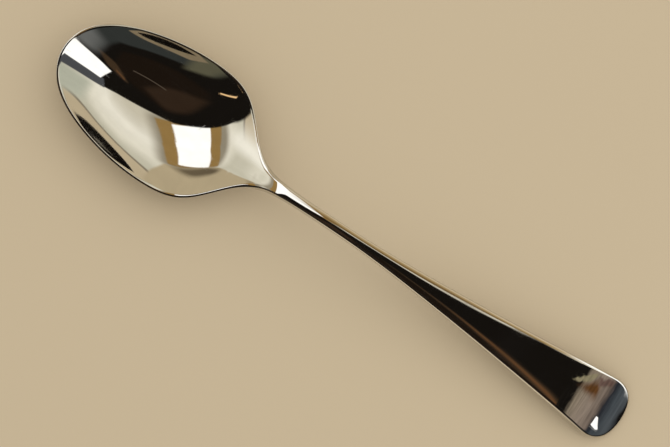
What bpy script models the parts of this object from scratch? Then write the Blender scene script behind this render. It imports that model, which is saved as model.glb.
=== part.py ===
"""A tablespoon, pressed from one blank of stainless steel and polished all over.

It lies on a table at z = 0, with the bowl opening upwards. +X runs to the end of the handle, and y = 0 is
the plane that the spoon is mirrored in. Sizes are in metres, and a place along the spoon is its distance from
the tip of the bowl. The metal is a curved middle sheet with a thickness: the sheet is worked out on one half
of the plan, its top and underside lie half a thickness from it, and a round edge joins the two.
"""

import math

import bpy
import numpy as np

# Plan view: widths are full widths, before the tip, the shoulders and the end are rounded off.
SPOON_LENGTH = 0.2000
BOWL_WIDTH = 0.0430
TIP_RADIUS = 0.0141
TIP_REACH = 0.0334        # from the tip to where the bowl's sides are all but full width
SHOULDER_PLACE = 0.0606   # middle of the curve that draws the bowl in to the stem
SHOULDER_EASE = 0.00444   # a larger value gives a longer, softer shoulder
STEM_WIDTH = 0.0038
FLARE_PLACE = 0.1039      # where the handle starts to widen
FLARE_EASE = 0.0067       # stretch over which the widening sets in
FLARE_POWER = 1.32        # 1 gives straight sides, more gives sides that spread towards the end
HANDLE_WIDTH = 0.0215
END_RADIUS = 0.0184
END_REACH = 0.0070        # from the end to where the corners have run out into the sides

# Side view: slopes are rise over run, measured from the plane of the bowl's rim.
RIM_SWEEP = 0.130         # fall of the rim at the tip
RIM_LEVEL = 0.0460        # where the rim has become level
RISE_START = 0.0460
RISE_END = 0.0760
NECK_RISE = 0.155         # slope of the stem where it leaves the bowl
NECK_LIFT = 0.0014        # the stem also leaves the bowl by a low, soft step
LIFT_START = 0.0620
LIFT_END = 0.0765
ARCH_START = 0.0820
ARCH_END = 0.1160
HANDLE_FALL = 0.112       # slope of the handle behind the arch
TURN_LENGTH = 0.0250      # last stretch of the handle, which turns down
TURN_FALL = 0.270         # what the turn adds to the slope by the end

# Section through the bowl, the neck and the handle.
BOWL_DEPTH = 0.0096       # from the rim line to the middle sheet, where the rim has become level
DEPTH_LEAN = 0.30         # share of that depth that the hollow gains on the way to the tip
TIP_FULLNESS = 0.45       # 0 gives a parabola, more gives steeper sides and a flatter bottom
FULL_PLACE = 0.0190       # where the bowl is that full; it is less so at the very tip and towards the neck
NECK_FULLNESS = -0.35     # below 0 gives flatter sides and a narrower bottom
SCOOP_START = 0.0420      # from here to the shoulder the hollow becomes a scoop with sides of one slope
BOWL_WALL = 0.0013        # thickness at the bottom of the bowl, which thins towards the rim
RIM_WALL = 0.0009
HOLLOW_START = 0.0690     # the bowl's hollow fades out between these two places, in the neck
HOLLOW_END = 0.0790
NECK_THICKNESS = 0.0034
HEEL_START = 0.0540       # under the bowl the neck's extra thickness runs out to here
HEEL_WIDTH = 0.0065
STEM_END = 0.0880         # behind this place the handle thins towards its end
END_THICKNESS = 0.0022
CROWN_HEIGHT = 0.00045    # how far the top of the handle stands up between its edges
EDGE_ROUND = 0.0011       # reach of the round edge, where the metal is thick enough for it
ROUND_LIMIT = 0.8         # most of the stem's half width that the round edge may take

# What use has worn: a small flat under the bowl, where it slides on the table.
REST_FLAT_DEPTH = 0.00012

# Mesh: columns follow the edge from the tip to the end, rows run from the middle line to the edge.
EDGE_COLUMNS = 92
SHEET_ROWS = 8
ROUND_ROWS = 4            # even, so that one row runs along the outermost line of the edge
TIP_FOOT = 0.0120         # the first and last columns start this far inside the tip and the end
END_FOOT = 0.0050
FOOT_EASE = 1.25          # over 1, so that columns never cross
ROW_CROWDING = 1.35       # over 1 draws the rows together at the middle line
OUTLINE_SAMPLES = 4000
SLOPE_STEP = 0.00002      # half the stretch over which a slope is measured
INSET_ROUNDS = 4          # rounds in which the edge's inset and the wall's slope there agree
SETTLING_ROUNDS = 12      # rounds in which both resting places reach the table
MERGE_DISTANCE = 0.000005

STEEL_COLOUR = (0.63, 0.61, 0.57, 1.0)
STEEL_ROUGHNESS = 0.08


def ease(place, start, end):
    """0 before start, 1 after end, and a smooth step between them."""
    share = np.clip((place - start) / (end - start), 0.0, 1.0)
    return share * share * (3.0 - 2.0 * share)


def climb(place, start, end):
    """Height gained on a slope that grows from 0 at start to 1 at end and then stays."""
    share = np.clip((place - start) / (end - start), 0.0, 1.0)
    bend = (end - start) * (share**3 - share**4 / 2.0)
    return bend + np.maximum(place - end, 0.0)


def ramp(distance, softness):
    """A soft corner: near 0 for a negative distance, near the distance itself for a positive one."""
    return (distance + np.sqrt(distance**2 + softness**2)) / 2.0


def rounding(distance, half_width, radius, reach):
    """How much of the squared half width is left this far inside a round end with that radius."""
    distance = np.maximum(distance, 0.0)
    return 1.0 - np.exp(-distance * 2.0 * radius / half_width**2 - (distance / reach) ** 4)


def side_reach(place):
    """Half the spoon's width in plan view, with the tip and the end left square."""
    bowl_half = BOWL_WIDTH / 2.0
    stem_half = STEM_WIDTH / 2.0
    handle_half = HANDLE_WIDTH / 2.0
    flare = ramp(place - FLARE_PLACE, FLARE_EASE) / ramp(SPOON_LENGTH - FLARE_PLACE, FLARE_EASE)
    handle = stem_half + (handle_half - stem_half) * flare**FLARE_POWER
    shoulder = 1.0 / (1.0 + np.exp((place - SHOULDER_PLACE) / SHOULDER_EASE))
    return handle + (bowl_half - handle) * shoulder


def half_width(place):
    """Half the spoon's width in plan view."""
    tip = rounding(place, BOWL_WIDTH / 2.0, TIP_RADIUS, TIP_REACH)
    end = rounding(SPOON_LENGTH - place, HANDLE_WIDTH / 2.0, END_RADIUS, END_REACH)
    return side_reach(place) * np.sqrt(tip * end)


def edge_height(place):
    """Height of the rim and of the handle's edges in side view, from the rim's own plane."""
    rim = -RIM_SWEEP * (place - climb(place, 0.0, RIM_LEVEL))
    rise = NECK_RISE * climb(place, RISE_START, RISE_END)
    lift = NECK_LIFT * ease(place, LIFT_START, LIFT_END)
    arch = (NECK_RISE + HANDLE_FALL) * climb(place, ARCH_START, ARCH_END)
    turn = TURN_FALL * climb(place, SPOON_LENGTH - TURN_LENGTH, SPOON_LENGTH)
    return rim + rise + lift - arch - turn


def crown(place, across):
    """Swell of the handle's top between its edges, which sets in where the bowl's hollow ends."""
    share = (half_width(place) ** 2 - across**2) / side_reach(place) ** 2
    return CROWN_HEIGHT * share * ease(place, HOLLOW_START, HOLLOW_END)


def bowl_fill(place, across):
    """How far inside the rim a point lies: 0 on the outline, 1 in the middle of the bowl's widest part."""
    return (half_width(place) ** 2 - across**2) / (BOWL_WIDTH / 2.0) ** 2


def sheet_height(place, across):
    """Height of the middle sheet: the edge line, less the bowl's hollow, plus half the handle's crown."""
    narrowing = 2.0 * side_reach(place) / BOWL_WIDTH
    fill = bowl_fill(place, across) / narrowing ** ease(place, SCOOP_START, SHOULDER_PLACE)
    to_neck = ease(place, FULL_PLACE, HOLLOW_START)
    fullness = TIP_FULLNESS * ease(place, 0.0, FULL_PLACE) * (1.0 - to_neck) + NECK_FULLNESS * to_neck
    depth = BOWL_DEPTH * (1.0 + DEPTH_LEAN * (1.0 - place / RIM_LEVEL))
    hollow = depth * ((1.0 + fullness) * fill - fullness * fill**2)
    hollow = hollow * (1.0 - ease(place, HOLLOW_START, HOLLOW_END))
    return edge_height(place) - hollow + crown(place, across) / 2.0


def thickness(place, across):
    """Thickness of the metal: thin in the bowl, with a heel under it that swells into the neck."""
    handle = NECK_THICKNESS + (END_THICKNESS - NECK_THICKNESS) * ease(place, STEM_END, SPOON_LENGTH)
    ridge = np.exp(-((across / HEEL_WIDTH) ** 2))
    whole = ease(place, HOLLOW_START, HOLLOW_END)
    heel = ease(place, HEEL_START, HOLLOW_END) * (whole + (1.0 - whole) * ridge)
    wall = RIM_WALL + (BOWL_WALL - RIM_WALL) * bowl_fill(place, across)
    return wall + (handle - wall) * heel + crown(place, across)


def sheet_slopes(place, across):
    """Slopes of the middle sheet along and across the spoon."""
    along = sheet_height(place + SLOPE_STEP, across) - sheet_height(place - SLOPE_STEP, across)
    aside = sheet_height(place, across + SLOPE_STEP) - sheet_height(place, across - SLOPE_STEP)
    return along / (2.0 * SLOPE_STEP), aside / (2.0 * SLOPE_STEP)


def sheet_normals(place, across):
    """Unit normals of the middle sheet, pointing up."""
    along, aside = sheet_slopes(place, across)
    normals = np.stack([-along, -aside, np.ones_like(along)], axis=-1)
    return normals / np.linalg.norm(normals, axis=-1, keepdims=True)


def edge_stations():
    """Points on one half of the outline, evenly spaced from tip to end, with their outward directions."""
    turn = np.linspace(0.0, math.pi, OUTLINE_SAMPLES)
    place = SPOON_LENGTH * (1.0 - np.cos(turn)) / 2.0
    across = half_width(place)
    across[[0, -1]] = 0.0
    length = np.concatenate([[0.0], np.cumsum(np.hypot(np.diff(place), np.diff(across)))])
    wanted = np.linspace(0.0, length[-1], EDGE_COLUMNS + 1)
    forward = np.interp(wanted, length, np.gradient(place, length))
    aside = np.interp(wanted, length, np.gradient(across, length))
    outward = np.stack([-aside, forward], axis=-1)
    outward[0] = (-1.0, 0.0)
    outward[-1] = (1.0, 0.0)
    outward /= np.linalg.norm(outward, axis=-1, keepdims=True)
    return np.interp(wanted, length, place), np.interp(wanted, length, across), outward


def column_feet(place):
    """Where each column starts on the middle line: kept inside both ends, in the columns' order."""
    from_tip = TIP_FOOT * np.exp(-place / (FOOT_EASE * TIP_FOOT))
    from_end = END_FOOT * np.exp(-(SPOON_LENGTH - place) / (FOOT_EASE * END_FOOT))
    return place + from_tip - from_end


def half_shell():
    """Points of one half, one column per edge station: top, round edge, then underside."""
    place, across, outward = edge_stations()
    metal = thickness(place, across)
    round_reach = np.minimum(metal / 2.0, min(EDGE_ROUND, ROUND_LIMIT * STEM_WIDTH / 2.0))
    rim_place, rim_across = place, across
    for _ in range(INSET_ROUNDS):
        rim_slope = np.sum(np.stack(sheet_slopes(rim_place, rim_across), axis=-1) * outward, axis=-1)
        wall = np.arctan(rim_slope)
        inset = np.hypot(round_reach * np.cos(wall), metal / 2.0 * np.sin(wall))
        rim_place = place - inset * outward[:, 0]
        rim_across = across - inset * outward[:, 1]

    share = np.linspace(0.0, 1.0, SHEET_ROWS + 1) ** ROW_CROWDING
    feet = column_feet(place)
    sheet_place = feet[:, None] + (rim_place - feet)[:, None] * share
    sheet_across = rim_across[:, None] * share
    sheet = np.stack([sheet_place, sheet_across, sheet_height(sheet_place, sheet_across)], axis=-1)
    normals = sheet_normals(sheet_place, sheet_across)
    offset = normals * (thickness(sheet_place, sheet_across) / 2.0)[..., None]

    reach = np.concatenate([outward, rim_slope[:, None]], axis=-1)
    reach *= (round_reach / np.linalg.norm(reach, axis=-1))[:, None]
    turn = math.pi * np.arange(1, ROUND_ROWS) / ROUND_ROWS
    edge = sheet[:, -1:] + reach[:, None] * np.sin(turn)[:, None] + offset[:, -1:] * np.cos(turn)[:, None]
    return np.concatenate([sheet + offset, edge, (sheet - offset)[:, ::-1]], axis=1)


def tipped(points, slope):
    """The points turned about the Y axis until a line of that slope has become level."""
    angle = math.atan(slope)
    turned = points.copy()
    turned[..., 0] = points[..., 0] * math.cos(angle) + points[..., 2] * math.sin(angle)
    turned[..., 2] = points[..., 2] * math.cos(angle) - points[..., 0] * math.sin(angle)
    return turned


def laid_on_table(points):
    """The points tipped until bowl and handle end both touch the table, with the flat worn there."""
    in_bowl = points[..., 0] < RISE_END
    for _ in range(SETTLING_ROUNDS):
        bowl = points[in_bowl][np.argmin(points[in_bowl][:, 2])]
        handle = points[~in_bowl][np.argmin(points[~in_bowl][:, 2])]
        points = tipped(points, (handle[2] - bowl[2]) / (handle[0] - bowl[0]))
    points[..., 0] -= (points[..., 0].min() + points[..., 0].max()) / 2.0
    points[..., 2] -= points[..., 2].min() + REST_FLAT_DEPTH
    points[..., 2] = np.maximum(points[..., 2], 0.0)
    return points


def steel_material():
    """Polished stainless steel."""
    material = bpy.data.materials.new("polished_steel")
    material.use_nodes = True
    shader = material.node_tree.nodes["Principled BSDF"]
    shader.inputs["Base Color"].default_value = STEEL_COLOUR
    shader.inputs["Metallic"].default_value = 1.0
    shader.inputs["Roughness"].default_value = STEEL_ROUGHNESS
    return material


def make_spoon():
    """One half of the spoon as a grid of faces, with a mirror that closes it along the middle."""
    points = laid_on_table(half_shell())
    columns, rows = points.shape[:2]
    number = np.arange(columns * rows).reshape(columns, rows)
    corners = (number[:-1, :-1], number[1:, :-1], number[1:, 1:], number[:-1, 1:])
    faces = np.stack(corners, axis=-1).reshape(-1, 4)
    mesh = bpy.data.meshes.new("spoon")
    mesh.from_pydata(points.reshape(-1, 3).tolist(), [], faces.tolist())
    mesh.shade_smooth()
    mesh.materials.append(steel_material())
    spoon = bpy.data.objects.new("spoon", mesh)
    bpy.context.scene.collection.objects.link(spoon)
    mirror = spoon.modifiers.new("other_half", "MIRROR")
    mirror.use_axis = (False, True, False)
    mirror.merge_threshold = MERGE_DISTANCE
    flat = points[points[..., 2] <= 0.0]
    print("worn flat from", flat.min(axis=0).round(5), "to", flat.max(axis=0).round(5))
    lowest, highest = points.min(axis=(0, 1)), points.max(axis=(0, 1))
    print("half of the spoon from", lowest.round(5), "to", highest.round(5))


for leftover in list(bpy.data.objects):
    bpy.data.objects.remove(leftover)
make_spoon()
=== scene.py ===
# %% [markdown]
# # A polished tablespoon
# The solid of the spoon is already modelled. It is true in size but faceted, and a
# mirror polish shows every facet. This lesson lays a fine skin over it, gives the skin the finish of used
# stainless steel, and photographs it from above on a pale table. Everything is in metres, with +X running
# to the end of the handle and the table at z = 0.

# %% Load the solid as a fixed frame
import math

import bpy
import numpy as np
from mathutils import Matrix, Vector


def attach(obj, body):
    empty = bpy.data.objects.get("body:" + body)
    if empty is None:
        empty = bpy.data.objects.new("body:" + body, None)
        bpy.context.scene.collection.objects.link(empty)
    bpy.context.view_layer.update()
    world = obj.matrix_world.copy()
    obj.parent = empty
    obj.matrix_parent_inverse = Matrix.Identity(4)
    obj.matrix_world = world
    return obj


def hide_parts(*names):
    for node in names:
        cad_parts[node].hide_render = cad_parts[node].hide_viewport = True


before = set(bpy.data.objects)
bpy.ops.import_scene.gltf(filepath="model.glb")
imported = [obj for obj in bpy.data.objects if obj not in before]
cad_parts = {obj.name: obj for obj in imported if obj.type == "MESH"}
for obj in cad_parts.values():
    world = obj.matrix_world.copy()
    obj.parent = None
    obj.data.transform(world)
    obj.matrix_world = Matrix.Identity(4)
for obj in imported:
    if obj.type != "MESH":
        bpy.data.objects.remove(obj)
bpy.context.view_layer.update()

PRINTED_DIGITS = 4


def rounded(values):
    """Coordinates short enough to print."""
    return [round(float(value), PRINTED_DIGITS) for value in values]


# %% [markdown]
# ## The camera
# The spoon is seen from almost straight above, with its handle running down to the right. A camera could
# be aimed with a Track To constraint, but that leaves its roll to chance, so the three axes of the
# picture are worked out here and written into the camera's matrix. The lens is a long one, as is usual
# for small things.

# %% Camera
PICTURE_WIDTH = 670           # pixels
FOCAL_LENGTH = 1500           # the same length in pixels of the picture
SENSOR_WIDTH = 36.0           # millimetres
CAMERA_DISTANCE = 0.4547
CAMERA_LEAN = math.radians(2.34)      # away from straight down
LEAN_HEADING = math.radians(-61.8)    # from the +X axis, in plan
PICTURE_TURN = math.radians(33.80)    # from the +X axis to the picture's right, in plan
AIM = Vector((-0.0045, 0.0013, 0.0))


def photo_camera():
    """A camera above the table, rolled so that the spoon slants across the picture."""
    back = Vector((math.sin(CAMERA_LEAN) * math.cos(LEAN_HEADING),
                   math.sin(CAMERA_LEAN) * math.sin(LEAN_HEADING),
                   math.cos(CAMERA_LEAN)))
    picture_top = Vector((-math.sin(PICTURE_TURN), math.cos(PICTURE_TURN), 0.0))
    right = picture_top.cross(back).normalized()
    upward = back.cross(right)
    lens = bpy.data.cameras.new("photo_camera")
    lens.sensor_fit = "HORIZONTAL"
    lens.sensor_width = SENSOR_WIDTH
    lens.lens = SENSOR_WIDTH * FOCAL_LENGTH / PICTURE_WIDTH
    camera = bpy.data.objects.new("photo_camera", lens)
    bpy.context.scene.collection.objects.link(camera)
    axes = Matrix((right, upward, back)).transposed().to_4x4()
    camera.matrix_world = Matrix.Translation(AIM + back * CAMERA_DISTANCE) @ axes
    bpy.context.scene.camera = camera
    return camera


camera = photo_camera()
print("camera at", rounded(camera.matrix_world.translation), "with a lens of", round(camera.data.lens), "mm")

# %% [markdown]
# ## The outline
# In plan the spoon is an egg-shaped bowl, a slim stem and a handle that spreads to a round end. It could
# be traced with a curve object, but the polish needs a surface whose slope never jumps. So the half width
# is one formula of the place along the spoon, which is the distance from the tip of the bowl. The solid
# was made from the same formula, with the same sizes.

# %% Outline
SPOON_LENGTH = 0.2000
BOWL_WIDTH = 0.0430
TIP_RADIUS = 0.0141
TIP_REACH = 0.0334            # from the tip to where the bowl's sides are all but full width
SHOULDER_PLACE = 0.0606       # middle of the curve that draws the bowl in to the stem
SHOULDER_EASE = 0.00444
STEM_WIDTH = 0.0038
FLARE_PLACE = 0.1039          # where the handle starts to widen
FLARE_EASE = 0.0067
FLARE_POWER = 1.32            # over 1, the sides spread towards the end
HANDLE_WIDTH = 0.0215
END_RADIUS = 0.0184
END_REACH = 0.0070            # from the end to where the corners have run out into the sides
OUTLINE_SAMPLES = 40000       # places at which the outline is measured
MM_IN_METRE = 1000.0


def ease(place, start, end):
    """0 before start, 1 after end, and a smooth step between them."""
    share = np.clip((place - start) / (end - start), 0.0, 1.0)
    return share * share * (3.0 - 2.0 * share)


def climb(place, start, end):
    """Height gained on a slope that grows from 0 at start to 1 at end and then stays."""
    share = np.clip((place - start) / (end - start), 0.0, 1.0)
    bend = (end - start) * (share**3 - share**4 / 2.0)
    return bend + np.maximum(place - end, 0.0)


def ramp(distance, softness):
    """A soft corner: near 0 for a negative distance, near the distance itself for a positive one."""
    return (distance + np.sqrt(distance**2 + softness**2)) / 2.0


def rounding(distance, half, radius, reach):
    """How much of the squared half width is left this far inside a round end with that radius."""
    distance = np.maximum(distance, 0.0)
    return 1.0 - np.exp(-distance * 2.0 * radius / half**2 - (distance / reach) ** 4)


def side_reach(place):
    """Half the width in plan, with the tip and the end left square."""
    flare = ramp(place - FLARE_PLACE, FLARE_EASE) / ramp(SPOON_LENGTH - FLARE_PLACE, FLARE_EASE)
    handle = (STEM_WIDTH + (HANDLE_WIDTH - STEM_WIDTH) * flare**FLARE_POWER) / 2.0
    shoulder = 1.0 / (1.0 + np.exp((place - SHOULDER_PLACE) / SHOULDER_EASE))
    return handle + (BOWL_WIDTH / 2.0 - handle) * shoulder


def half_width(place):
    """Half the width in plan."""
    tip = rounding(place, BOWL_WIDTH / 2.0, TIP_RADIUS, TIP_REACH)
    end = rounding(SPOON_LENGTH - place, HANDLE_WIDTH / 2.0, END_RADIUS, END_REACH)
    return side_reach(place) * np.sqrt(tip * end)


bowl_places = np.linspace(0.0, SHOULDER_PLACE, OUTLINE_SAMPLES)
print("bowl", round(2.0 * half_width(bowl_places).max() * MM_IN_METRE, 1), "mm wide")

# %% [markdown]
# ## Side view, hollow and thickness
# The stem rises out of the bowl, arches, and falls to a handle end that turns down to the table. The bowl
# is a hollow pressed into the sheet, fuller and deeper towards its tip. A sculpted mesh could have the
# same look, but reflections in a polished bowl are a strict judge, so these heights are formulas too. The
# metal is thin at the rim, and swells to a heel where the bowl runs into the neck.

# %% Side view, hollow and thickness
RIM_SWEEP = 0.130             # slopes are rise over run
RIM_LEVEL = 0.0460
RISE_START = 0.0460
RISE_END = 0.0760
NECK_RISE = 0.155
NECK_LIFT = 0.0014            # the stem also leaves the bowl by a low, soft step
LIFT_START = 0.0620
LIFT_END = 0.0765
ARCH_START = 0.0820
ARCH_END = 0.1160
HANDLE_FALL = 0.112
TURN_LENGTH = 0.0250
TURN_FALL = 0.270
BOWL_DEPTH = 0.0096
DEPTH_LEAN = 0.30             # what the hollow gains on its depth from the level rim to the tip
TIP_FULLNESS = 0.45           # 0 gives a parabola, more gives steeper sides and a flatter bottom
FULL_PLACE = 0.0190           # where the bowl is that full; less so at the very tip and towards the neck
NECK_FULLNESS = -0.35         # below 0 gives flatter sides and a narrower bottom
SCOOP_START = 0.0420          # from here to the shoulder the hollow becomes a scoop with sides of one slope
BOWL_WALL = 0.0013
RIM_WALL = 0.0009
HOLLOW_START = 0.0690         # the hollow fades out between these two places, in the neck
HOLLOW_END = 0.0790
NECK_THICKNESS = 0.0034
HEEL_START = 0.0540
HEEL_WIDTH = 0.0065
STEM_END = 0.0880
END_THICKNESS = 0.0022
CROWN_HEIGHT = 0.00045        # how far the top of the handle stands up between its edges
PRINTED_PLACES = 9


def edge_height(place):
    """Height of the rim and of the handle's edges, from the rim's own plane."""
    rim = -RIM_SWEEP * (place - climb(place, 0.0, RIM_LEVEL))
    rise = NECK_RISE * climb(place, RISE_START, RISE_END)
    lift = NECK_LIFT * ease(place, LIFT_START, LIFT_END)
    arch = (NECK_RISE + HANDLE_FALL) * climb(place, ARCH_START, ARCH_END)
    turn = TURN_FALL * climb(place, SPOON_LENGTH - TURN_LENGTH, SPOON_LENGTH)
    return rim + rise + lift - arch - turn


def crown(place, across):
    """Swell of the handle's top between its edges."""
    share = (half_width(place) ** 2 - across**2) / side_reach(place) ** 2
    return CROWN_HEIGHT * share * ease(place, HOLLOW_START, HOLLOW_END)


def bowl_fill(place, across):
    """How far inside the rim a point lies: 0 on the outline, 1 in the middle of the bowl's widest part."""
    return (half_width(place) ** 2 - across**2) / (BOWL_WIDTH / 2.0) ** 2


def sheet_height(place, across):
    """Height of the middle of the metal."""
    narrowing = 2.0 * side_reach(place) / BOWL_WIDTH
    fill = bowl_fill(place, across) / narrowing ** ease(place, SCOOP_START, SHOULDER_PLACE)
    to_neck = ease(place, FULL_PLACE, HOLLOW_START)
    fullness = TIP_FULLNESS * ease(place, 0.0, FULL_PLACE) * (1.0 - to_neck) + NECK_FULLNESS * to_neck
    depth = BOWL_DEPTH * (1.0 + DEPTH_LEAN * (1.0 - place / RIM_LEVEL))
    hollow = depth * ((1.0 + fullness) * fill - fullness * fill**2)
    hollow = hollow * (1.0 - ease(place, HOLLOW_START, HOLLOW_END))
    return edge_height(place) - hollow + crown(place, across) / 2.0


def thickness(place, across):
    """Thickness of the metal: thin in the bowl, with a heel under it that swells into the neck."""
    handle = NECK_THICKNESS + (END_THICKNESS - NECK_THICKNESS) * ease(place, STEM_END, SPOON_LENGTH)
    ridge = np.exp(-((across / HEEL_WIDTH) ** 2))
    whole = ease(place, HOLLOW_START, HOLLOW_END)
    heel = ease(place, HEEL_START, HOLLOW_END) * (whole + (1.0 - whole) * ridge)
    wall = RIM_WALL + (BOWL_WALL - RIM_WALL) * bowl_fill(place, across)
    return wall + (handle - wall) * heel + crown(place, across)


middle_places = np.linspace(0.0, SPOON_LENGTH, PRINTED_PLACES)
print("metal along the middle", rounded(thickness(middle_places, 0.0) * MM_IN_METRE), "mm")

# %% [markdown]
# ## The skin
# Columns of points start at the edge, evenly spaced from the tip to the end of the handle, and run in to
# the middle line. Each column goes over the top, round the edge and back along the underside, so the skin
# is one grid of four-sided faces with no pole in the bowl. Half of the spoon is made this way, up to the
# middle line, and can be mirrored there. The edge is a half ellipse. On the bowl a narrow flat land is
# ground along its top, which shows in the polish as a thin line round the rim. A Bevel modifier could
# round the edge too, but its width couldn't follow the thickness of the metal as closely.

# %% Skin
COLUMNS = 340
SHEET_ROWS = 40
ROUND_ROWS = 14
TIP_FOOT = 0.0120             # the first and last columns start this far inside the tip and the end
END_FOOT = 0.0050
FOOT_EASE = 1.25              # over 1, so that columns never cross
ROW_CROWDING = 1.35           # over 1 draws the rows together at the middle line
SLOPE_STEP = 0.00002
EDGE_ROUND = 0.0011           # reach of the round edge, where the metal is thick enough for it
ROUND_LIMIT = 0.8             # most of the stem's half width that the round edge may take
INSET_ROUNDS = 6
LAND_DEPTH = 0.000085         # what is ground off the top of the bowl's round edge
LAND_EASE = 0.00002


def sheet_slopes(place, across):
    """Slopes of the middle of the metal along and across the spoon."""
    along = sheet_height(place + SLOPE_STEP, across) - sheet_height(place - SLOPE_STEP, across)
    aside = sheet_height(place, across + SLOPE_STEP) - sheet_height(place, across - SLOPE_STEP)
    return along / (2.0 * SLOPE_STEP), aside / (2.0 * SLOPE_STEP)


def sheet_normals(place, across):
    """Unit normals of the middle of the metal, pointing up."""
    along, aside = sheet_slopes(place, across)
    normals = np.stack([-along, -aside, np.ones_like(along)], axis=-1)
    return normals / np.linalg.norm(normals, axis=-1, keepdims=True)


def edge_stations():
    """Points on one half of the outline, evenly spaced from tip to end, with their outward directions."""
    turn = np.linspace(0.0, math.pi, OUTLINE_SAMPLES)
    place = SPOON_LENGTH * (1.0 - np.cos(turn)) / 2.0
    across = half_width(place)
    across[[0, -1]] = 0.0
    length = np.concatenate([[0.0], np.cumsum(np.hypot(np.diff(place), np.diff(across)))])
    wanted = np.linspace(0.0, length[-1], COLUMNS + 1)
    forward = np.interp(wanted, length, np.gradient(place, length))
    aside = np.interp(wanted, length, np.gradient(across, length))
    outward = np.stack([-aside, forward], axis=-1)
    outward[0] = (-1.0, 0.0)
    outward[-1] = (1.0, 0.0)
    outward /= np.linalg.norm(outward, axis=-1, keepdims=True)
    return np.interp(wanted, length, place), np.interp(wanted, length, across), outward


def column_feet(place):
    """Where each column meets the middle line: kept inside both ends, in the columns' order."""
    from_tip = TIP_FOOT * np.exp(-place / (FOOT_EASE * TIP_FOOT))
    from_end = END_FOOT * np.exp(-(SPOON_LENGTH - place) / (FOOT_EASE * END_FOOT))
    return place + from_tip - from_end


def half_skin():
    """Points of one half, a column for each edge station: top, round edge, then underside."""
    place, across, outward = edge_stations()
    metal = thickness(place, across)
    round_reach = np.minimum(metal / 2.0, min(EDGE_ROUND, ROUND_LIMIT * STEM_WIDTH / 2.0))
    rim_place, rim_across = place, across
    for _ in range(INSET_ROUNDS):
        rim_slope = np.sum(np.stack(sheet_slopes(rim_place, rim_across), axis=-1) * outward, axis=-1)
        wall = np.arctan(rim_slope)
        inset = np.hypot(round_reach * np.cos(wall), metal / 2.0 * np.sin(wall))
        rim_place = place - inset * outward[:, 0]
        rim_across = across - inset * outward[:, 1]
    share = np.linspace(0.0, 1.0, SHEET_ROWS + 1) ** ROW_CROWDING
    feet = column_feet(place)
    sheet_place = feet[:, None] + (rim_place - feet)[:, None] * share
    sheet_across = rim_across[:, None] * share
    sheet = np.stack([sheet_place, sheet_across, sheet_height(sheet_place, sheet_across)], axis=-1)
    offset = sheet_normals(sheet_place, sheet_across)
    offset = offset * (thickness(sheet_place, sheet_across) / 2.0)[..., None]
    reach = np.concatenate([outward, rim_slope[:, None]], axis=-1)
    reach *= (round_reach / np.linalg.norm(reach, axis=-1))[:, None]
    turn = math.pi * np.arange(1, ROUND_ROWS) / ROUND_ROWS
    edge = sheet[:, -1:] + reach[:, None] * np.sin(turn)[:, None] + offset[:, -1:] * np.cos(turn)[:, None]
    crest = sheet[:, -1, 2] + np.hypot(reach[:, 2], offset[:, -1, 2])
    land = crest - LAND_DEPTH * (1.0 - ease(place, HOLLOW_START, HOLLOW_END))
    edge[..., 2] = land[:, None] - ramp(land[:, None] - edge[..., 2], LAND_EASE)
    return np.concatenate([sheet + offset, edge, (sheet - offset)[:, ::-1]], axis=1)


points = half_skin()
print("half skin of", points.shape[0], "columns and", points.shape[1], "rows")

# %% [markdown]
# ## Lying on the table
# A spoon rests on the bottom of its bowl and on the end of its handle. The solid was tipped until both
# touch the table, and has a small flat under the bowl that sliding on tables has worn. The finished
# object could be turned by its rotation instead, but then the flat would have to be cut at a slant. So
# the points are tipped, in a few rounds, because the lowest ones shift a little each time.

# %% Lie on the table
SETTLING_ROUNDS = 12
REST_FLAT_DEPTH = 0.00012


def tipped(points, slope):
    """The points turned about the Y axis until a line of that slope has become level."""
    angle = math.atan(slope)
    turned = points.copy()
    turned[..., 0] = points[..., 0] * math.cos(angle) + points[..., 2] * math.sin(angle)
    turned[..., 2] = points[..., 2] * math.cos(angle) - points[..., 0] * math.sin(angle)
    return turned


def laid_on_table(points):
    """The points tipped until bowl and handle end both touch the table, with the worn flat under the bowl."""
    in_bowl = points[..., 0] < RISE_END
    for _ in range(SETTLING_ROUNDS):
        bowl = points[in_bowl][np.argmin(points[in_bowl][:, 2])]
        handle = points[~in_bowl][np.argmin(points[~in_bowl][:, 2])]
        points = tipped(points, (handle[2] - bowl[2]) / (handle[0] - bowl[0]))
    points[..., 0] -= (points[..., 0].min() + points[..., 0].max()) / 2.0
    points[..., 2] -= points[..., 2].min() + REST_FLAT_DEPTH
    points[..., 2] = np.maximum(points[..., 2], 0.0)
    return points


points = laid_on_table(points)
print("half skin from", rounded(points.min(axis=(0, 1))), "to", rounded(points.max(axis=(0, 1))))

# %% [markdown]
# ## The spoon as one object
# Half of the spoon becomes a mesh, and modifiers do the rest. A Mirror makes the other half, and the seam
# stays smooth because the two halves share their points there. A Displace with a cloud texture then moves
# the skin in and out by a few thousandths of a millimetre, which is the waviness that a polishing wheel
# leaves. It could be faked with bump in the material, but a mirror finish shows it best when it is real.
# Each point also stores how near it is to the outer edge, for the wear that rubbing leaves there.

# %% Make the spoon
MERGE_DISTANCE = 0.000005
WAVE_HEIGHT = 0.000020        # most that the waves could span, from trough to crest
WAVE_LENGTH = 0.016
RUB_REACH = 0.0016            # how far in from the outline the edge is rubbed


def edge_rub(points):
    """1 on the outline, fading to 0 a short way in, for each point of the half skin."""
    outermost = points[:, SHEET_ROWS + ROUND_ROWS // 2]
    away = np.linalg.norm(points[..., :2] - outermost[:, None, :2], axis=-1)
    return np.exp(-((away / RUB_REACH) ** 2))


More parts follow.
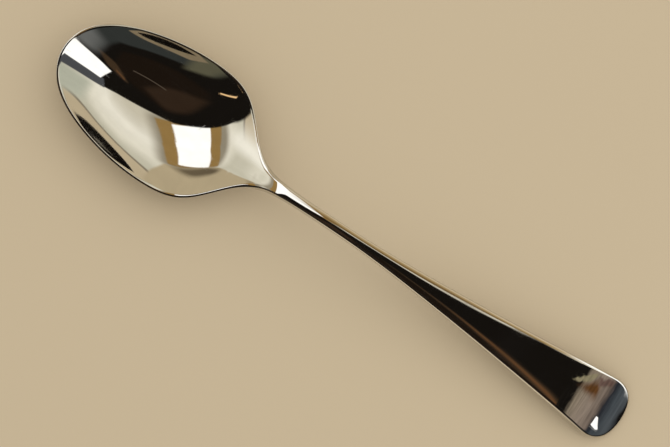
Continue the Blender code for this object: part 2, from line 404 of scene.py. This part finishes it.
def make_spoon(points):
    """The half skin as a grid of faces, mirrored and very slightly waved."""
    columns, rows = points.shape[:2]
    number = np.arange(columns * rows).reshape(columns, rows)
    corners = (number[:-1, :-1], number[1:, :-1], number[1:, 1:], number[:-1, 1:])
    faces = np.stack(corners, axis=-1).reshape(-1, 4)
    mesh = bpy.data.meshes.new("polished_spoon")
    mesh.from_pydata(points.reshape(-1, 3).tolist(), [], faces.tolist())
    mesh.shade_smooth()
    rub = mesh.attributes.new("edge_rub", "FLOAT", "POINT")
    rub.data.foreach_set("value", edge_rub(points).ravel())
    spoon = bpy.data.objects.new("polished_spoon", mesh)
    bpy.context.scene.collection.objects.link(spoon)
    mirror = spoon.modifiers.new("other_half", "MIRROR")
    mirror.use_axis = (False, True, False)
    mirror.merge_threshold = MERGE_DISTANCE
    clouds = bpy.data.textures.new("polishing_waves", "CLOUDS")
    clouds.noise_scale = WAVE_LENGTH
    clouds.noise_depth = 0
    waves = spoon.modifiers.new("polishing_waves", "DISPLACE")
    waves.texture = clouds
    waves.texture_coords = "LOCAL"
    waves.strength = WAVE_HEIGHT
    return spoon


spoon = make_spoon(points)
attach(spoon, "root")
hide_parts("spoon")
print("spoon of", len(spoon.data.polygons), "faces in each half")

# %% [markdown]
# ## Helpers for shader nodes
# The finishes below are small graphs of nodes. A few helpers keep their code short. One adds a node and
# fills in its settings, the next three stand for common nodes, and the last two open a node group with
# named sockets and place it in a material, so that an effect can be used again with new values.

# %% Node helpers


def add_node(tree, kind, values=None, **settings):
    """A new node with its settings, and with values or links for its inputs."""
    node = tree.nodes.new("ShaderNode" + kind)
    for name, setting in settings.items():
        setattr(node, name, setting)
    for socket, value in (values or {}).items():
        if isinstance(value, bpy.types.NodeSocket):
            tree.links.new(value, node.inputs[socket])
        else:
            node.inputs[socket].default_value = value
    return node


def math_node(tree, operation, *values, clamp=False):
    """The output of a Math node."""
    node = add_node(tree, "Math", dict(enumerate(values)), operation=operation, use_clamp=clamp)
    return node.outputs[0]


def mixed(tree, share, first, second):
    """The first colour where the share is 0, the second where it is 1."""
    return add_node(tree, "Mix", {0: share, 6: first, 7: second}, data_type="RGBA").outputs[2]


def soft_step(tree, value, low, high):
    """0 below low, 1 above high, with a smooth step between them."""
    values = {"Value": value, "From Min": low, "From Max": high}
    return add_node(tree, "MapRange", values, interpolation_type="SMOOTHSTEP").outputs["Result"]


def new_group(name, inputs, outputs):
    """A shader node group with named number sockets, and the sockets of its two ends."""
    group = bpy.data.node_groups.new(name, "ShaderNodeTree")
    for socket, value in inputs.items():
        made = group.interface.new_socket(socket, in_out="INPUT", socket_type="NodeSocketFloat")
        made.default_value = value
    for socket in outputs:
        group.interface.new_socket(socket, in_out="OUTPUT", socket_type="NodeSocketFloat")
    start = group.nodes.new("NodeGroupInput").outputs
    end = group.nodes.new("NodeGroupOutput").inputs
    return group, start, end


def use_group(tree, group, values):
    """The outputs of a group placed in a material's tree with its own values."""
    return add_node(tree, "Group", values, node_tree=group).outputs


print("node helpers ready")

# %% [markdown]
# ## Hairlines and haze
# Cutlery is wiped, stacked and washed, so its polish carries hairline scratches in a few main directions
# and a thin, cloudy haze. Hairlines could be drawn as an image, but noise stretched very far along one
# direction gives endless ones with no picture at all. They are a node group, because the steel uses them
# three times, each time at another angle.

# %% Hairline and haze groups
HAIRLINE_LEVEL = 0.78         # noise above this level is a scratch, for a share of 0
SHARE_WEIGHT = 0.5            # how far a share of 1 lowers that level
HAIRLINE_SHARPNESS = 9.0
HAIRLINE_DETAIL = 1.0
HAZE_DETAIL = 5.0
HAZE_BREAKUP = 0.6            # how strong the finer clouds are beside the larger ones


def hairline_group():
    """Thin scratches along one direction: 1 on a scratch, 0 between scratches."""
    inputs = {"Angle": 0.0, "Length": 0.02, "Width": 0.0002, "Share": 0.2}
    group, start, end = new_group("hairlines", inputs, ["Mask"])
    place = add_node(group, "TexCoord").outputs["Object"]
    values = {"Vector": place, "Angle": start["Angle"]}
    turned = add_node(group, "VectorRotate", values, rotation_type="Z_AXIS").outputs[0]
    along = math_node(group, "DIVIDE", 1.0, start["Length"])
    across = math_node(group, "DIVIDE", 1.0, start["Width"])
    stretch = add_node(group, "CombineXYZ", {"X": along, "Y": across, "Z": along}).outputs[0]
    scaled = add_node(group, "VectorMath", {0: turned, 1: stretch}, operation="MULTIPLY").outputs[0]
    values = {"Vector": scaled, "Scale": 1.0, "Detail": HAIRLINE_DETAIL}
    grain = add_node(group, "TexNoise", values).outputs["Fac"]
    lowered = math_node(group, "MULTIPLY", start["Share"], SHARE_WEIGHT)
    level = math_node(group, "SUBTRACT", HAIRLINE_LEVEL, lowered)
    raised = math_node(group, "SUBTRACT", grain, level)
    group.links.new(math_node(group, "MULTIPLY", raised, HAIRLINE_SHARPNESS, clamp=True), end["Mask"])
    return group


def haze_group():
    """Cloudy patches: 1 where the polish is dulled most."""
    group, start, end = new_group("haze", {"Patch": 0.02, "Low": 0.45, "High": 0.75}, ["Mask"])
    place = add_node(group, "TexCoord").outputs["Object"]
    scale = math_node(group, "DIVIDE", 1.0, start["Patch"])
    values = {"Vector": place, "Scale": scale, "Detail": HAZE_DETAIL, "Roughness": HAZE_BREAKUP}
    cloud = add_node(group, "TexNoise", values).outputs["Fac"]
    group.links.new(soft_step(group, cloud, start["Low"], start["High"]), end["Mask"])
    return group


hairlines = hairline_group()
haze = haze_group()
print("groups", hairlines.name, "and", haze.name)

# %% [markdown]
# ## Polished steel
# Stainless steel is a metal through and through, so its colour is the colour of its reflections: a light
# grey with a trace of yellow. The polish is nearly a mirror. Haze and hairlines raise the roughness here
# and there, the rubbed edges are a little duller, and the hairlines are also cut very slightly into the
# surface with a Bump node. They could be cut into the mesh instead, but they are finer than its faces.

# %% Steel
STEEL_COLOUR = (0.620, 0.604, 0.572, 1.0)
DULLED_COLOUR = (0.570, 0.550, 0.515, 1.0)
HAZE_DULLING = 0.5            # how far haze and hairlines go towards the dulled colour
HAIRLINE_DULLING = 0.4
POLISH_ROUGHNESS = 0.022      # of the clean polish; the next three are what each flaw adds to it
HAZE_ROUGHNESS = 0.045
HAIRLINE_ROUGHNESS = 0.11
RUB_ROUGHNESS = 0.07
RUB_WITHOUT_HAZE = 0.35       # how much of the rubbing shows where there is no haze
HAZE_PATCH = 0.018
HAIRLINE_SETS = (             # angles are in radians, from the spoon's length
    {"Angle": 0.06, "Length": 0.030, "Width": 0.00022, "Share": 0.22},
    {"Angle": 0.9, "Length": 0.014, "Width": 0.00018, "Share": 0.12},
    {"Angle": -1.2, "Length": 0.010, "Width": 0.00020, "Share": 0.10},
)
HAIRLINE_DEPTH = 0.0000012


def polished_steel():
    """Mirror-polished stainless steel with haze, hairlines and rubbed edges."""
    material = bpy.data.materials.new("polished_steel")
    material.use_nodes = True
    tree = material.node_tree
    shader = tree.nodes["Principled BSDF"]
    shader.inputs["Metallic"].default_value = 1.0
    clouds = use_group(tree, haze, {"Patch": HAZE_PATCH})["Mask"]
    scratched = 0.0
    for values in HAIRLINE_SETS:
        scratched = math_node(tree, "MAXIMUM", scratched, use_group(tree, hairlines, values)["Mask"])
    rub = add_node(tree, "Attribute", attribute_name="edge_rub").outputs["Fac"]
    rub_shown = math_node(tree, "ADD", clouds, RUB_WITHOUT_HAZE)
    rubbed = math_node(tree, "MULTIPLY", rub, rub_shown, clamp=True)

    roughness = POLISH_ROUGHNESS
    for mask, gain in ((clouds, HAZE_ROUGHNESS), (scratched, HAIRLINE_ROUGHNESS), (rubbed, RUB_ROUGHNESS)):
        roughness = math_node(tree, "MULTIPLY_ADD", mask, gain, roughness)
    tree.links.new(roughness, shader.inputs["Roughness"])

    dulled = math_node(tree, "MULTIPLY", clouds, HAZE_DULLING)
    dulled = math_node(tree, "MULTIPLY_ADD", scratched, HAIRLINE_DULLING, dulled)
    tree.links.new(mixed(tree, dulled, STEEL_COLOUR, DULLED_COLOUR), shader.inputs["Base Color"])

    grooves = math_node(tree, "MULTIPLY", scratched, -1.0)
    bump = add_node(tree, "Bump", {"Height": grooves, "Distance": HAIRLINE_DEPTH, "Strength": 1.0})
    tree.links.new(bump.outputs["Normal"], shader.inputs["Normal"])
    return material


spoon.data.materials.append(polished_steel())
print("steel of", len(spoon.data.materials[0].node_tree.nodes), "nodes")

# %% [markdown]
# ## The table
# A plain pale table, the colour of kraft paper. It could be a modelled table top, but it only has to take
# the spoon's shadow and lend its colour to the edges that look down at it, so one large flat face is
# enough.

# %% Table
TABLE_COLOUR = (0.565, 0.456, 0.305, 1.0)
TABLE_ROUGHNESS = 0.9
TABLE_SPECULAR = 0.1
TABLE_SIZE = 6.0
TABLE_DROP = 0.0001           # keeps the table's face clear of the worn flat


def make_table():
    """A large flat sheet under the spoon."""
    half = TABLE_SIZE / 2.0
    corners = [(-half, -half, 0.0), (half, -half, 0.0), (half, half, 0.0), (-half, half, 0.0)]
    mesh = bpy.data.meshes.new("table")
    mesh.from_pydata(corners, [], [(0, 1, 2, 3)])
    material = bpy.data.materials.new("kraft_table")
    material.use_nodes = True
    shader = material.node_tree.nodes["Principled BSDF"]
    shader.inputs["Base Color"].default_value = TABLE_COLOUR
    shader.inputs["Roughness"].default_value = TABLE_ROUGHNESS
    shader.inputs["Specular IOR Level"].default_value = TABLE_SPECULAR
    mesh.materials.append(material)
    table = bpy.data.objects.new("table", mesh)
    table.location.z = -TABLE_DROP
    bpy.context.scene.collection.objects.link(table)
    return table


table = make_table()
print(table.name, TABLE_SIZE, "m wide")

# %% [markdown]
# ## The studio round it
# A mirror shows what is round it, so a polished spoon needs a studio to reflect: a pale wall on one side,
# a dark cloth overhead and on the other side, and a few bright, grey and kraft panels. They could all be
# real cards on stands, but a world that gives each direction its colour does the same for everything far
# away. A panel is given by its corners, each in degrees off straight up along x and y. Its mask is the
# product of one soft step for each of its sides, and later panels lie over earlier ones. Two panels are
# painted shade: the shaded wall round the window frame and a shadow under the window. Only mirrors see
# the panels: the table is lit by an even, pale dome.

# %% Studio world
BRIGHT = (1.75, 1.75, 1.72, 1.0)
KRAFT = (0.44, 0.275, 0.095, 1.0)
DARK = (0.011, 0.009, 0.007, 1.0)
GREY = (0.046, 0.051, 0.048, 1.0)
CRISP = 0.012                 # softness of a clean side
WALL_RAMP = (                 # sine of the height over the horizon, and the wall's colour there
    (0.000, (0.77, 0.64, 0.43, 1.0)),
    (0.215, (0.77, 0.64, 0.43, 1.0)),
    (0.235, (0.34, 0.29, 0.21, 1.0)),
    (0.250, (0.34, 0.29, 0.21, 1.0)),
    (0.275, (0.80, 0.77, 0.61, 1.0)),
    (0.360, (0.88, 0.84, 0.68, 1.0)),
    (0.520, (1.14, 1.09, 0.92, 1.0)),
    (0.780, (1.27, 1.22, 1.06, 1.0)),
    (0.950, (0.86, 0.80, 0.64, 1.0)),
)
PANELS = {                    # corners, colour, softness of the sides
    "pale panel": (((-50, -22), (-82, -8), (-86, -40), (-56, -40)), (1.38, 1.34, 1.19, 1.0), 0.15),
    "pale foot": (((-58, 40), (-70, -60), (-89, -60), (-89, 50)), (1.02, 0.97, 0.81, 1.0), 0.08),
    "sage panel": (((78, 26), (46, 24), (42, 58), (62, 58)), (0.68, 0.70, 0.57, 1.0), 0.10),
    "shaded wall": (((-1, 10), (-20.5, 56), (-57.5, 27), (-42.5, -36)), (0.44, 0.39, 0.29, 1.0), 0.07),
    "kraft frame": (((-4.6, 10.8), (-9.3, 21.4), (-16, 36), (-46.1, -2.2), (-38.5, -29.6)), KRAFT, CRISP),
    "low frame": (((-14.4, 32.9), (-24.4, 51.6), (-57, 24.7), (-44.8, -5.8)), KRAFT, CRISP),
    "kraft sheet": (((-14, 89), (-18.3, 69.7), (-23, 53.5), (-49.6, 31.4), (-59.6, 25.6), (-71.5, 24.2),
                     (-72.5, 45), (-62, 89)), (0.68, 0.56, 0.36, 1.0), 0.014),
    # painted shadow: a dark band along the kraft sheet's top edge, just under the window frame
    "shadow under the window": (((-25.5, 52), (-49.6, 32.5), (-62, 27), (-61, 37), (-45, 50)),
                   (0.20, 0.155, 0.095, 1.0), 0.06),
    "bright panel": (((-11.2, 6.8), (-21, 28.5), (-41, 11.5), (-30.2, -19.8)), BRIGHT, CRISP),
    "low bright panel": (((-18.9, 24.1), (-29.5, 46), (-50.4, 32), (-39.2, 6.5)), BRIGHT, CRISP),
    "dark cloth": (((-5.4, 10.8), (-50, -42), (-50, -89), (60, -89), (89, 28), (62, 24.5), (32, 19.2),
                    (5, 15.2)), DARK, CRISP),
    "dark end": (((-36, -30), (-66, -51), (-75, -70), (-45, -80)), DARK, 0.02),
    "brown fold": (((40, -16), (6, -4), (-6, -1), (-14, -12), (-24, -50), (0, -56), (40, -44)),
                   (0.017, 0.011, 0.007, 1.0), 0.06),
    "fold side": (((12, -14), (-6, -3), (-14, -12), (-26, -50), (-16, -46), (-4, -28)),
                  (0.045, 0.027, 0.016, 1.0), 0.05),
    "fold edge": (((58, -27), (46, -13), (24, -6), (16, -4.5), (16, -6), (40, -22)),
                  (0.072, 0.044, 0.024, 1.0), 0.025),
    "fold line": (((36, -14), (34, -11), (20, -6.2), (20, -7.8)), (0.17, 0.080, 0.034, 1.0), CRISP),
    "thin line": (((19, -24.5), (19, -23.3), (-3, -21.8), (-3, -22.8)), (0.13, 0.10, 0.075, 1.0), 0.008),
    "warm line": (((-26.5, -55.7), (-26.5, -57), (-38.5, -58.2), (-38.5, -56.9)),
                  (1.30, 0.85, 0.42, 1.0), 0.006),
    "grey cloth": (((47, -52), (25, -63.5), (-18.5, -69.5), (-20, -89), (40, -89), (75, -70)), GREY, 0.04),
    "grey side": (((57, -22), (44, -54), (60, -76), (88, -60), (88, -24)), GREY, 0.04),
    "grey tip": (((57, -18), (53, -42), (66, -58), (88, -60), (88, -18)), (0.21, 0.215, 0.21, 1.0), 0.10),
    "grey end": (((-5, -64), (-18.5, -69.5), (-20, -89), (-5, -89)), (0.150, 0.142, 0.090, 1.0), 0.05),
    "kraft floor": (((36, -79.5), (19, -81.3), (-3.6, -80.4), (-11, -84.5), (-12, -100), (36, -92)),
                    (0.32, 0.25, 0.155, 1.0), CRISP),
    "slate panel": (((40, 9), (80, 9), (80, 28), (53, 24), (34, 20.4)), (0.105, 0.110, 0.120, 1.0), 0.02),
    "bright strip": (((38.1, -6.7), (43.7, 10.7), (78, 11), (78, -22)), BRIGHT, CRISP),
}
DOME = (0.76, 0.76, 0.75, 1.0)
BACKDROP = (0.82, 0.76, 0.66, 1.0)
WAVY_SCALE = 2.4              # the panels hang a little unevenly
WAVY_AMOUNT = 0.018
WAVY_DETAIL = 1.0
MOTTLE = (5.0, 5.0, 5.0)      # and are of a slightly uneven shade: waves to the unit along each axis
MOTTLE_DEPTH = 0.10
SHADE_DETAIL = 3.0
NOISE_MIDDLE = (0.5, 0.5, 0.5)


def direction(along, aside):
    """Unit vector that is so many degrees off straight up, along x and along y."""
    off = math.radians(math.hypot(along, aside))
    heading = math.atan2(aside, along)
    return Vector((math.sin(off) * math.cos(heading), math.sin(off) * math.sin(heading), math.cos(off)))


def wavy(tree, place, scale, amount):
    """The place moved a little to and fro by soft noise."""
    values = {"Vector": place, "Scale": scale, "Detail": WAVY_DETAIL}
    noise = add_node(tree, "TexNoise", values).outputs["Color"]
    shift = add_node(tree, "VectorMath", {0: noise, 1: NOISE_MIDDLE}, operation="SUBTRACT").outputs[0]
    values = {0: shift, 1: (amount, amount, amount), 2: place}
    return add_node(tree, "VectorMath", values, operation="MULTIPLY_ADD").outputs[0]


def panel_mask(tree, place, corners, softness):
    """1 inside the panel, 0 outside, with soft sides, each in a plane through the origin."""
    mask = None
    middle = sum(corners, Vector())
    for first, second in zip(corners, corners[1:] + corners[:1]):
        side = first.cross(second).normalized()
        if side.dot(middle) < 0.0:
            side = -side
        inside = add_node(tree, "VectorMath", {0: place, 1: side}, operation="DOT_PRODUCT").outputs["Value"]
        step = soft_step(tree, inside, -softness, softness)
        mask = step if mask is None else math_node(tree, "MULTIPLY", mask, step)
    return mask


def painted(tree, colour, place, corners, shade, softness):
    """The colour with one panel of another shade painted over it."""
    return mixed(tree, panel_mask(tree, place, corners, softness), colour, shade)


def uneven_shade(tree, colour, place, waves, depth):
    """The colour made lighter and darker by noise, with so many waves to the unit along each axis."""
    stretched = add_node(tree, "VectorMath", {0: place, 1: waves}, operation="MULTIPLY").outputs[0]
    values = {"Vector": stretched, "Scale": 1.0, "Detail": SHADE_DETAIL}
    grain = add_node(tree, "TexNoise", values).outputs["Fac"]
    values = {"Value": grain, "To Min": 1.0 - depth, "To Max": 1.0 + depth}
    level = add_node(tree, "MapRange", values).outputs["Result"]
    return add_node(tree, "VectorMath", {0: colour, "Scale": level}, operation="SCALE").outputs[0]


def ramp_colour(tree, value, stops):
    """The colour at a value, from pairs of a value and a colour."""
    ramp_node = add_node(tree, "ValToRGB", {"Fac": value})
    elements = ramp_node.color_ramp.elements
    while len(elements) < len(stops):
        elements.new(1.0)
    for element, (place, colour) in zip(elements, stops):
        element.position = place
        element.color = colour
    return ramp_node.outputs["Color"]


def make_studio():
    """The world: a wall with panels for mirrors, an even dome for the rest, a backdrop for the camera."""
    world = bpy.data.worlds.new("studio")
    world.use_nodes = True
    bpy.context.scene.world = world
    tree = world.node_tree
    heading = add_node(tree, "TexCoord").outputs["Generated"]
    height = add_node(tree, "SeparateXYZ", {0: heading}).outputs["Z"]
    colour = ramp_colour(tree, height, WALL_RAMP)
    place = wavy(tree, heading, WAVY_SCALE, WAVY_AMOUNT)
    for corners, shade, softness in PANELS.values():
        colour = painted(tree, colour, place, [direction(*corner) for corner in corners], shade, softness)
    colour = uneven_shade(tree, colour, heading, MOTTLE, MOTTLE_DEPTH)
    ray = add_node(tree, "LightPath").outputs
    lit = mixed(tree, ray["Is Glossy Ray"], DOME, colour)
    seen = mixed(tree, ray["Is Camera Ray"], lit, BACKDROP)
    tree.links.new(seen, tree.nodes["Background"].inputs["Color"])
    return world


studio = make_studio()
print(studio.name, "with", len(PANELS), "panels")

# %% [markdown]
# ## Cards close to the handle
# Bowl and handle are far apart, so they see things that stand close by in different directions. A few
# plain cards, about a centimetre or more from the metal, use that. The handle's end shows a streaky board
# in slate and beige, with a black foot and a bright spot. One long side shows a kraft card that leans in
# over it, the other side a low, pale card, and the corner of the end a white one. Each could be a lamp,
# but a card that glows by itself and that only mirrors see needs no aiming. Standing cards fade out at
# both ends, so that no hard corner shows in the polish.

# %% Near cards
BLACK = (0.0, 0.0, 0.0, 1.0)
BOARD_BLACK = (0.010, 0.009, 0.008, 1.0)
BOARD_AT = 0.125              # how far along x the board at the handle's end stands
BOARD_WIDTH = (-0.065, 0.040)                 # lowest and highest y
BOARD_HEIGHT = (0.0, 0.096)                   # lowest and highest z
BOARD_RAMP = (                # share of the board's height, and its colour there
    (0.152, BOARD_BLACK),
    (0.182, (0.110, 0.125, 0.140, 1.0)),
    (0.273, (0.080, 0.095, 0.110, 1.0)),
    (0.340, (0.030, 0.033, 0.042, 1.0)),
    (0.379, (0.230, 0.180, 0.150, 1.0)),
    (0.503, (0.400, 0.320, 0.260, 1.0)),
    (0.725, (0.330, 0.270, 0.200, 1.0)),
    (0.802, (0.012, 0.010, 0.008, 1.0)),
)
BOARD_PATCHES = {             # corners in y and z, colour, softness
    "olive patch": (((0.0100, 0.080), (0.0104, 0.094), (0.0185, 0.074), (0.0205, 0.062), (0.0185, 0.057),
                     (0.0125, 0.066)), (0.380, 0.330, 0.205, 1.0), 0.0014),
    "brown patch": (((0.0072, 0.075), (0.0160, 0.051), (0.0090, 0.044), (0.0020, 0.046)),
                    (0.150, 0.066, 0.022, 1.0), 0.0040),
    "rosy patch": (((0.0120, 0.050), (0.0175, 0.054), (0.0175, 0.036), (0.0125, 0.036)),
                   (0.190, 0.120, 0.100, 1.0), 0.0016),
    "black side": (((-0.030, 0.000), (-0.030, 0.100), (-0.070, 0.100), (-0.070, 0.000)), BOARD_BLACK, 0.0030),
}
BOARD_WAVY_SCALE = 130.0
BOARD_WAVY_AMOUNT = 0.006
STREAKS = (1.0, 40.0, 420.0)  # streaks to the metre along each axis
STREAK_DEPTH = 0.7
SPOT_CORNERS = ((-0.0044, 0.0330), (-0.0043, 0.0306), (-0.0091, 0.0243), (-0.0099, 0.0264), (-0.0098, 0.0332))
SPOT_STEP = 0.0004            # how far the spot stands in front of the board
SIDE_CARD = ((-0.030, 0.0217), (-0.010, 0.0240), (0.080, 0.0342), (0.100, 0.0365))  # x and y along its foot
SIDE_HEIGHT = (0.0, 0.045)
SIDE_LEAN = 0.018             # how far its top leans over towards the spoon
SIDE_RAMP = (                 # share of its height, and its colour there
    (0.30, (0.86, 0.70, 0.48, 1.0)),
    (0.50, (0.66, 0.50, 0.28, 1.0)),
    (0.80, (0.46, 0.31, 0.12, 1.0)),
    (1.00, (0.22, 0.13, 0.05, 1.0)),
)
LOW_CARD = ((-0.030, -0.034), (-0.010, -0.034), (0.085, -0.034), (0.105, -0.034))
LOW_HEIGHT = (0.0, 0.018)
LOW_COLOUR = (0.92, 0.76, 0.55, 1.0)
CORNER_CARD = ((0.078, 0.0194), (0.086, 0.0217), (0.108, 0.0280), (0.120, 0.0180), (0.123, 0.0100))
CORNER_HEIGHT = (0.007, 0.020)


def hang_card(name, corners, faces, colour):
    """A card that glows and shows only in reflections."""
    mesh = bpy.data.meshes.new(name)
    mesh.from_pydata(corners, [], faces)
    material = bpy.data.materials.new(name)
    material.use_nodes = True
    shader = material.node_tree.nodes["Principled BSDF"]
    shader.inputs["Base Color"].default_value = BLACK
    shader.inputs["Specular IOR Level"].default_value = 0.0
    shader.inputs["Emission Color"].default_value = colour
    shader.inputs["Emission Strength"].default_value = 1.0
    mesh.materials.append(material)
    card = bpy.data.objects.new(name, mesh)
    bpy.context.scene.collection.objects.link(card)
    card.visible_camera = False
    card.visible_diffuse = False
    card.visible_shadow = False
    return card


def facing_card(name, x, corners, colour):
    """A flat card across the spoon's length, from its corners in y and z."""
    return hang_card(name, [(x, y, z) for y, z in corners], [tuple(range(len(corners)))], colour)


def standing_card(name, folds, height, colour, lean=0.0):
    """A card through places in x and y, from its lowest to its highest z. It fades out at both ends."""
    corners = [(x, y - aside, z) for x, y in folds for z, aside in zip(height, (0.0, lean))]
    faces = [(step, step + 1, step + 3, step + 2) for step in range(0, 2 * len(folds) - 2, 2)]
    card = hang_card(name, corners, faces, colour)
    glow = card.data.attributes.new("glow", "FLOAT", "POINT")
    glow.data.foreach_set("value", [float(fold in folds[1:-1]) for fold in folds for _ in height])
    tree = card.data.materials[0].node_tree
    share = add_node(tree, "Attribute", attribute_name="glow").outputs["Fac"]
    tree.links.new(share, tree.nodes["Principled BSDF"].inputs["Alpha"])
    return card


def height_colour(tree, place, height, stops):
    """A colour ramp from the lowest to the highest z of a card."""
    values = {"Value": add_node(tree, "SeparateXYZ", {0: place}).outputs["Z"]}
    values.update({"From Min": height[0], "From Max": height[1]})
    return ramp_colour(tree, add_node(tree, "MapRange", values).outputs["Result"], stops)


def make_board():
    """The board across the handle's end: colours up its height, streaks along it and a few patches."""
    corners = [(BOARD_WIDTH[side], BOARD_HEIGHT[level]) for side, level in ((0, 0), (0, 1), (1, 1), (1, 0))]
    board = facing_card("board", BOARD_AT, corners, BOARD_BLACK)
    tree = board.data.materials[0].node_tree
    place = add_node(tree, "TexCoord").outputs["Object"]
    uneven = wavy(tree, place, BOARD_WAVY_SCALE, BOARD_WAVY_AMOUNT)
    colour = height_colour(tree, uneven, BOARD_HEIGHT, BOARD_RAMP)
    for outline, shade, softness in BOARD_PATCHES.values():
        patch = [Vector((BOARD_AT, y, z)) for y, z in outline]
        colour = painted(tree, colour, uneven, patch, shade, softness)
    streaky = uneven_shade(tree, colour, place, STREAKS, STREAK_DEPTH)
    tree.links.new(streaky, tree.nodes["Principled BSDF"].inputs["Emission Color"])
    return board


def make_side_card():
    """The card along the handle's side: pale at its foot, dark kraft at its top."""
    card = standing_card("side_card", SIDE_CARD, SIDE_HEIGHT, LOW_COLOUR, SIDE_LEAN)
    tree = card.data.materials[0].node_tree
    colour = height_colour(tree, add_node(tree, "TexCoord").outputs["Object"], SIDE_HEIGHT, SIDE_RAMP)
    tree.links.new(colour, tree.nodes["Principled BSDF"].inputs["Emission Color"])
    return card


cards = [
    make_board(),
    facing_card("bright_spot", BOARD_AT - SPOT_STEP, SPOT_CORNERS, BRIGHT),
    make_side_card(),
    standing_card("low_card", LOW_CARD, LOW_HEIGHT, LOW_COLOUR),
    standing_card("corner_card", CORNER_CARD, CORNER_HEIGHT, BRIGHT),
]
print("cards", [card.name for card in cards])

# %% [markdown]
# ## The light and the picture
# The dome lights the table evenly. One large, soft area lamp adds the rest of the light from one side, up
# to the level at which a colour renders about as it is written. A sun lamp with a wide angle could do
# that too, but the size and the distance of an area lamp are easier to picture. The lamp isn't seen in
# reflections, where the wall is.

# %% Lamp and picture
LAMP_DISTANCE = 1.6
LAMP_SIZE = 2.2
LAMP_POWER = 11.5
LAMP_PLACE = (14, 26)         # degrees off straight up, along x and along y


def soft_lamp():
    """A large square lamp that faces the spoon."""
    light = bpy.data.lights.new("soft_lamp", "AREA")
    light.size = LAMP_SIZE
    light.energy = LAMP_POWER
    lamp = bpy.data.objects.new("soft_lamp", light)
    towards = direction(*LAMP_PLACE)
    lamp.location = towards * LAMP_DISTANCE
    lamp.rotation_mode = "QUATERNION"
    lamp.rotation_quaternion = towards.to_track_quat("Z", "Y")
    lamp.visible_glossy = False
    lamp.visible_camera = False
    bpy.context.scene.collection.objects.link(lamp)
    return lamp


lamp = soft_lamp()
bpy.context.scene.view_settings.view_transform = "Standard"
print("lamp at", rounded(lamp.location))
